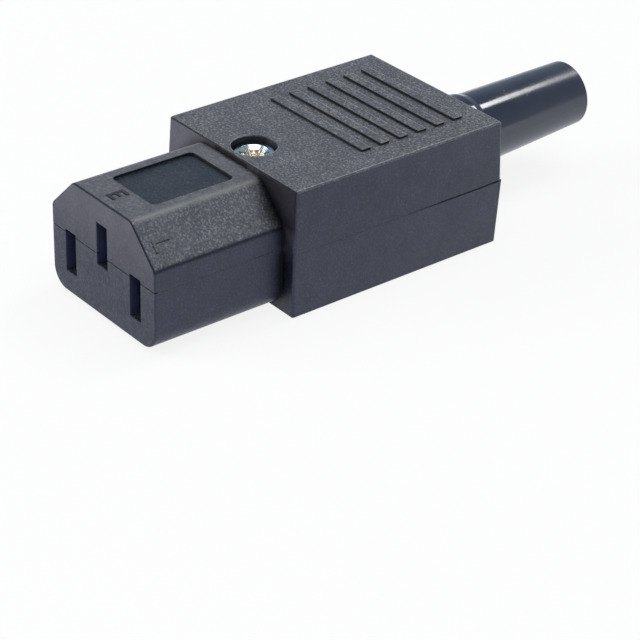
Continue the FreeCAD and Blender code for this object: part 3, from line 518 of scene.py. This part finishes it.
def head_with_painted_reflection(name, seat, gold_depth):
    """Bright zinc of the screw head with a painted reflection, blue on one side and grey green on the other,
    golden down in the recess, and a painted highlight at the edges.
    """
    finish = Finish(name)
    rounded, edge = finish.soft_edges(0.08 * MM)
    across = finish.minus(finish.axis(finish.place, "X"), seat.x)
    along = finish.minus(finish.axis(finish.place, "Y"), seat.y)
    # painted reflection: grey green on one side of the head and blue on the other, across a slant
    slant = finish.plus(finish.plus(across, along), finish.patches(1.2 * MM, 2.0, -0.5 * MM, 0.5 * MM))
    tint = finish.blend(finish.ramp(slant, -1.5 * MM, -0.5 * MM), (0.66, 0.76, 0.70), (0.86, 0.87, 0.86))
    tint = finish.blend(finish.ramp(slant, 0.8 * MM, 2.0 * MM), tint, (0.56, 0.76, 0.88))
    height = finish.plus(finish.axis(finish.place, "Z"), finish.patches(0.5 * MM, 2.0, -0.06 * MM, 0.06 * MM))
    golden = finish.ramp(height, gold_depth + 0.08 * MM, gold_depth - 0.08 * MM)
    tint = finish.blend(golden, tint, (0.78, 0.68, 0.54))
    # painted highlight: paler at the edges
    tint = finish.blend(finish.times(edge, 0.3), tint, (0.95, 0.95, 0.95))
    finish.set(Base_Color=tint, Roughness=finish.patches(0.6 * MM, 3.0, 0.12, 0.22),
               Normal=finish.bump(finish.noise(0.5 * MM, 1.0), 0.02 * MM, rounded), Metallic=1.0)
    return finish.material


# the face's low colour is painted shade and its high colour painted light, haze is painted light on the walls
# towards the rear, the pale edge colour is partly worn and partly painted highlight, and the shoulder colour
# is a painted highlight
HOUSING_COLOURS = {
    "smooth": (0.054, 0.060, 0.095), "polished": (0.018, 0.026, 0.036), "face_shaded": (0.018, 0.021, 0.048),
    "face_lit": (0.128, 0.122, 0.150), "eroded": (0.084, 0.088, 0.095), "worn": (0.32, 0.32, 0.31),
    "edge_wear_and_highlight": (0.6, 0.6, 0.58), "shoulder_highlight": (0.19, 0.19, 0.185), "haze": (0.13, 0.13, 0.15),
}
FINISHES = {
    "housing": Moulding("housing", HOUSING_COLOURS, 0.14 * MM).material,
    "boot": glossy_sleeve("boot"),
    "brass": metal("brass", (0.78, 0.60, 0.28), (0.70, 0.52, 0.24), (0.82, 0.68, 0.4), 0.22, 0.4),
    "plated_steel": metal("plated_steel", (0.70, 0.76, 0.80), (0.82, 0.82, 0.80), (0.78, 0.66, 0.46),
                          0.16, 0.3),
    "clamp_plastic": plain_moulding("clamp_plastic", smooth=(0.05, 0.05, 0.055), eroded=(0.06, 0.06, 0.065),
                                    worn=(0.12, 0.12, 0.12), edge_wear_and_highlight=(0.2, 0.2, 0.2), shoulder_highlight=(0.06, 0.06, 0.065),
                                    haze=(0.06, 0.06, 0.065), grain=0.02 * MM),
}
dark_letter = plain_moulding("dark_letter", smooth=(0.02, 0.022, 0.03), eroded=(0.024, 0.026, 0.032),
                             worn=(0.04, 0.04, 0.045), edge_wear_and_highlight=(0.06, 0.06, 0.06), shoulder_highlight=(0.024, 0.026, 0.032),
                             haze=(0.03, 0.03, 0.035), grain=0.02 * MM)
pale_letter = plain_moulding("pale_letter", smooth=(0.03, 0.033, 0.04), eroded=(0.09, 0.093, 0.1),
                             worn=(0.13, 0.13, 0.13), edge_wear_and_highlight=(0.2, 0.2, 0.2), shoulder_highlight=(0.08, 0.083, 0.09),
                             haze=(0.03, 0.033, 0.04), grain=0.04 * MM)

for subpart in frame["record"]["subparts"]:
    piece = nodes[subpart["node"]]
    piece.data.materials.clear()
    piece.data.materials.append(FINISHES[subpart["material_slot"]])

# cover screw: dished pan head, as low as the photograph shows it, with a tapered cross recess
low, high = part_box("cover_screw")
screw_axis = Vector(((low.x + high.x) / 2, (low.y + high.y) / 2, 0))
SHANK_RADIUS = 1.45 * MM
HEAD_RADIUS = (high.x - low.x) / 2
HEAD_SEAT = high.z - 2.1 * MM
HEAD_TOP = HEAD_SEAT + 1.5 * MM
# the head's rounded rim, as insets from its side and drops from its top
HEAD_RIM = ((0, 0.28 * MM), (0.08 * MM, 0.1 * MM), (0.25 * MM, 0))
DISH_RADIUS = 1.95 * MM
DISH_DEPTH = 0.42 * MM
# the dish, as shares of its radius and of its depth
DISH = ((1, 0), (0.68, 1), (0.55, 1.8), (0, 2))
ARM_REACH = 2.05 * MM
ARM_HALF = 0.5 * MM
ARM_TOP = HEAD_TOP + 0.1 * MM
ARM_DEPTH = 1.2 * MM
ARM_FOOT_SHARE = 0.45
WELD = 0.0005 * MM


def new_piece(name, mesh):
    """An object of the scene from a mesh that is still open for edits."""
    bmesh.ops.recalc_face_normals(mesh, faces=mesh.faces)
    data = bpy.data.meshes.new(name)
    mesh.to_mesh(data)
    piece = bpy.data.objects.new(name, data)
    bpy.context.scene.collection.objects.link(piece)
    return piece


def turned(name, profile, centre):
    """A turned solid from radius and height pairs that start and end on the axis."""
    mesh = bmesh.new()
    chain = [mesh.verts.new(Vector((radius, 0, height))) for radius, height in profile]
    edges = [mesh.edges.new(pair) for pair in zip(chain, chain[1:])]
    bmesh.ops.spin(mesh, geom=chain + edges, cent=(0, 0, 0), axis=(0, 0, 1), angle=math.tau, steps=72,
                   use_merge=True)
    bmesh.ops.remove_doubles(mesh, verts=mesh.verts, dist=WELD)
    bmesh.ops.translate(mesh, verts=mesh.verts, vec=centre)
    return new_piece(name, mesh)


def cross_arm(name, turn):
    """A wedge shaped cutter on the screw's axis, narrower at its foot."""
    mesh = bmesh.new()
    bmesh.ops.create_cube(mesh, size=2.0)
    for corner in mesh.verts:
        share, level = (1.0, ARM_TOP) if corner.co.z > 0 else (ARM_FOOT_SHARE, ARM_TOP - ARM_DEPTH)
        corner.co = Vector((corner.co.x * ARM_REACH * share, corner.co.y * ARM_HALF * share, level))
    bmesh.ops.rotate(mesh, verts=mesh.verts, cent=(0, 0, 0), matrix=Matrix.Rotation(turn, 3, "Z"))
    bmesh.ops.translate(mesh, verts=mesh.verts, vec=screw_axis)
    return new_piece(name, mesh)


def cut(piece, cutters):
    """Takes the cutters out of a piece for good."""
    for cutter in cutters:
        step = piece.modifiers.new("Cut", "BOOLEAN")
        step.object = cutter
        step.operation = "DIFFERENCE"
        step.solver = "EXACT"
    bpy.context.view_layer.update()
    shaped = bpy.data.meshes.new_from_object(piece.evaluated_get(bpy.context.evaluated_depsgraph_get()))
    piece.modifiers.clear()
    piece.data = shaped
    for cutter in cutters:
        bpy.data.objects.remove(cutter)


head = turned("cover_screw_head", (
    (0, low.z), (SHANK_RADIUS, low.z), (SHANK_RADIUS, HEAD_SEAT), (HEAD_RADIUS, HEAD_SEAT),
    *((HEAD_RADIUS - inset, HEAD_TOP - drop) for inset, drop in HEAD_RIM),
    *((DISH_RADIUS * wide, HEAD_TOP - DISH_DEPTH * deep) for wide, deep in DISH)), screw_axis)
cut(head, [cross_arm(f"arm_{count}", turn) for count, turn in enumerate((0.0, math.pi / 2))])
head.data.materials.append(head_with_painted_reflection("screw_head", screw_axis, HEAD_TOP - DISH_DEPTH))
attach(head, "root")
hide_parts("cover_screw")

# raised pole letters, each the outline of its strokes in a cell one unit high
STROKE = 0.19
E_WIDTH = 0.62
E_TONGUE = 0.55
E_MIDDLE = (0.42, 0.58)
L_WIDTH = 0.66
N_WIDTH = 0.78
N_SLANT_FOOT = 0.6
N_SLANT_TOP = N_WIDTH - N_SLANT_FOOT
N_KNEE = 0.66
LETTERS = {
    "E": ((0, 0), (E_WIDTH, 0), (E_WIDTH, STROKE), (STROKE, STROKE), (STROKE, E_MIDDLE[0]),
          (E_TONGUE, E_MIDDLE[0]), (E_TONGUE, E_MIDDLE[1]), (STROKE, E_MIDDLE[1]), (STROKE, 1 - STROKE),
          (E_WIDTH, 1 - STROKE), (E_WIDTH, 1), (0, 1)),
    "L": ((0, 0), (L_WIDTH, 0), (L_WIDTH, STROKE), (STROKE, STROKE), (STROKE, 1), (0, 1)),
    "N": ((0, 0), (STROKE, 0), (STROKE, N_KNEE), (N_SLANT_FOOT, 0), (N_WIDTH, 0), (N_WIDTH, 1),
          (N_WIDTH - STROKE, 1), (N_WIDTH - STROKE, 1 - N_KNEE), (N_SLANT_TOP, 1), (0, 1)),
}
LETTER_SIZE = 2.5 * MM
LETTER_FOOT = FACE + 1.35 * MM
LETTER_RISE = 0.1 * MM
LETTER_ROOT = 0.05 * MM
LETTER_BEVEL = 0.04 * MM
E_LEFT = -1.0 * MM
SLOPE_START = 3.15 * MM
SLOPE_END = 4.95 * MM


def letter(glyph, corner, right, plastic):
    """A letter that stands proud of the surface under it, upright when read from the contact face."""
    up = Vector((0, 1, 0))
    outward = right.cross(up)
    mesh = bmesh.new()
    start = corner - outward * LETTER_ROOT
    outline = [mesh.verts.new(start + right * (u * LETTER_SIZE) + up * (v * LETTER_SIZE))
               for u, v in LETTERS[glyph]]
    top = bmesh.ops.extrude_face_region(mesh, geom=[mesh.faces.new(outline)])["geom"]
    moved = [item for item in top if isinstance(item, bmesh.types.BMVert)]
    bmesh.ops.translate(mesh, verts=moved, vec=outward * (LETTER_RISE + LETTER_ROOT))
    piece = new_piece(f"letter_{glyph}", mesh)
    soft = piece.modifiers.new("Soft", "BEVEL")
    soft.width = LETTER_BEVEL
    soft.segments = 2
    piece.data.materials.append(plastic)
    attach(piece, "root")


right_spot = SHOULDER_TOP + SLOPE * SLOPE_START
left_spot = SHOULDER_TOP + SLOPE * SLOPE_END
letter("E", Vector((E_LEFT, LETTER_FOOT, NOSE_TOP)), Vector((1, 0, 0)), dark_letter)
letter("L", Vector((right_spot.x, LETTER_FOOT, right_spot.z)), SLOPE, pale_letter)
letter("N", Vector((-left_spot.x, LETTER_FOOT, left_spot.z)), Vector((SLOPE.x, 0, -SLOPE.z)), pale_letter)

# soft boxes: name, direction from the part, distance, width and height, brightness
LAMPS = (
    ("key", (-0.52, -0.72, 0.46), 1.0, (0.5, 0.5), 0.5),
    ("overhead", (0.2, 0.0, 1.0), 0.9, (1.0, 1.0), 0.65),
    ("strip", (0.01, 0.55, 0.83), 1.0, (0.2, 0.3), 0.2),
)
LAMP_TARGET = Vector((0, 0, 9 * MM))


def lamp(name, direction, distance, size, level):
    """A soft box that gives a white surface facing it the stated brightness."""
    light = bpy.data.lights.new(name, "AREA")
    light.shape = "RECTANGLE"
    light.size, light.size_y = size
    light.energy = level * math.pi ** 2 * distance ** 2
    source = bpy.data.objects.new(name, light)
    bpy.context.scene.collection.objects.link(source)
    aim = Vector(direction).normalized()
    source.location = LAMP_TARGET + aim * distance
    source.rotation_euler = (-aim).to_track_quat("-Z", "Y").to_euler()


for settings in LAMPS:
    lamp(*settings)

WHITE = (1.0, 1.0, 1.0)
FLOOR_DROP = 0.02 * MM
FLOOR_HALF = 2.0
FLOOR_PAINT = (0.3, 0.31, 0.34)
FLOOR_SEEN = (0.95, 0.95, 0.95)
FLOOR_MIRRORED = (0.88, 0.92, 1.0)
# distances from the part between which the floor's own white grows, and how white it is at each
FLOOR_FADE = (60 * MM, 300 * MM)
FLOOR_WHITE = (0.86, 1.0)


def floor():
    """A pale floor that shows white and keeps the shadow of the part."""
    mesh = bmesh.new()
    bmesh.ops.create_grid(mesh, x_segments=1, y_segments=1, size=FLOOR_HALF)
    data = bpy.data.meshes.new("floor")
    mesh.to_mesh(data)
    plane = bpy.data.objects.new("floor", data)
    plane.location.z = -FLOOR_DROP
    bpy.context.scene.collection.objects.link(plane)
    finish = Finish("floor")
    finish.tree.nodes.remove(finish.shader)
    path = finish.add("ShaderNodeLightPath").outputs
    seen = finish.plus(path["Is Camera Ray"], path["Is Transmission Ray"], clamp=True)
    mirrored = path["Is Glossy Ray"]
    paint = finish.add("ShaderNodeBsdfDiffuse", {"Color": finish.blend(seen, FLOOR_PAINT, FLOOR_SEEN)})
    glow = finish.add("ShaderNodeEmission", {"Color": finish.blend(mirrored, WHITE, FLOOR_MIRRORED),
                                             "Strength": 1.0})
    away = finish.add("ShaderNodeVectorMath", {0: finish.place}, operation="LENGTH").outputs["Value"]
    white = finish.ramp(away, *FLOOR_FADE, *FLOOR_WHITE)
    share = finish.plus(finish.times(seen, white), mirrored, clamp=True)
    mixed = finish.add("ShaderNodeMixShader", {0: share, 1: paint.outputs[0], 2: glow.outputs[0]})
    finish.connect(finish.tree.nodes["Material Output"].inputs["Surface"], mixed.outputs[0])
    data.materials.append(finish.material)


floor()

# mirrored room, from level up to overhead: share of the way up, and colour
ROOM = ((0.0, WHITE), (0.04, (0.42, 0.47, 0.55)), (0.5, (0.25, 0.3, 0.38)), (0.85, (0.12, 0.15, 0.2)),
        (0.9, (0.12, 0.15, 0.2)), (0.93, WHITE))
FILL_LIGHT = (0.08, 0.11, 0.17)


def surroundings():
    """White behind the part, a bluish room under a white ceiling where mirrored, and a little blue light."""
    world = bpy.data.worlds.new("studio")
    bpy.context.scene.world = world
    world.use_nodes = True
    graph = Graph(world.node_tree)
    path = graph.add("ShaderNodeLightPath").outputs
    direction = graph.add("ShaderNodeTexCoord").outputs["Generated"]
    room = graph.add("ShaderNodeValToRGB", {"Fac": graph.axis(direction, "Z")})
    stops = room.color_ramp.elements
    while len(stops) < len(ROOM):
        stops.new(1.0)
    for stop, (position, colour) in zip(stops, ROOM):
        stop.position = position
        stop.color = (*colour, 1)
    seen = FILL_LIGHT
    for ray, colour in (("Is Glossy Ray", room.outputs["Color"]), ("Is Transmission Ray", WHITE),
                        ("Is Camera Ray", WHITE)):
        seen = graph.blend(path[ray], seen, colour)
    graph.connect(graph.tree.nodes["Background"].inputs["Color"], seen)


surroundings()

# the photograph's viewpoint
CAMERA_PLACE = Vector((0.19715, -0.169165, 0.1412))
CAMERA_AIM = Vector((-0.65913, 0.5505, -0.51235))
CAMERA_ROLL = math.radians(-1.903)
CAMERA_LENS = 123.66
CAMERA_SENSOR = 36
CAMERA_NEAR = 0.01


def camera():
    """The camera of the photograph."""
    view = bpy.data.cameras.new("camera")
    view.sensor_width = CAMERA_SENSOR
    view.lens = CAMERA_LENS
    view.clip_start = CAMERA_NEAR
    seat = bpy.data.objects.new("camera", view)
    bpy.context.scene.collection.objects.link(seat)
    forward = CAMERA_AIM.normalized()
    level_right = forward.cross(Vector((0, 0, 1))).normalized()
    right = Matrix.Rotation(CAMERA_ROLL, 3, forward) @ level_right
    above = right.cross(forward)
    turn = Matrix((right, above, -forward)).transposed()
    seat.matrix_world = Matrix.Translation(CAMERA_PLACE) @ turn.to_4x4()
    bpy.context.scene.camera = seat


camera()
bpy.context.scene.view_settings.view_transform = "Standard"
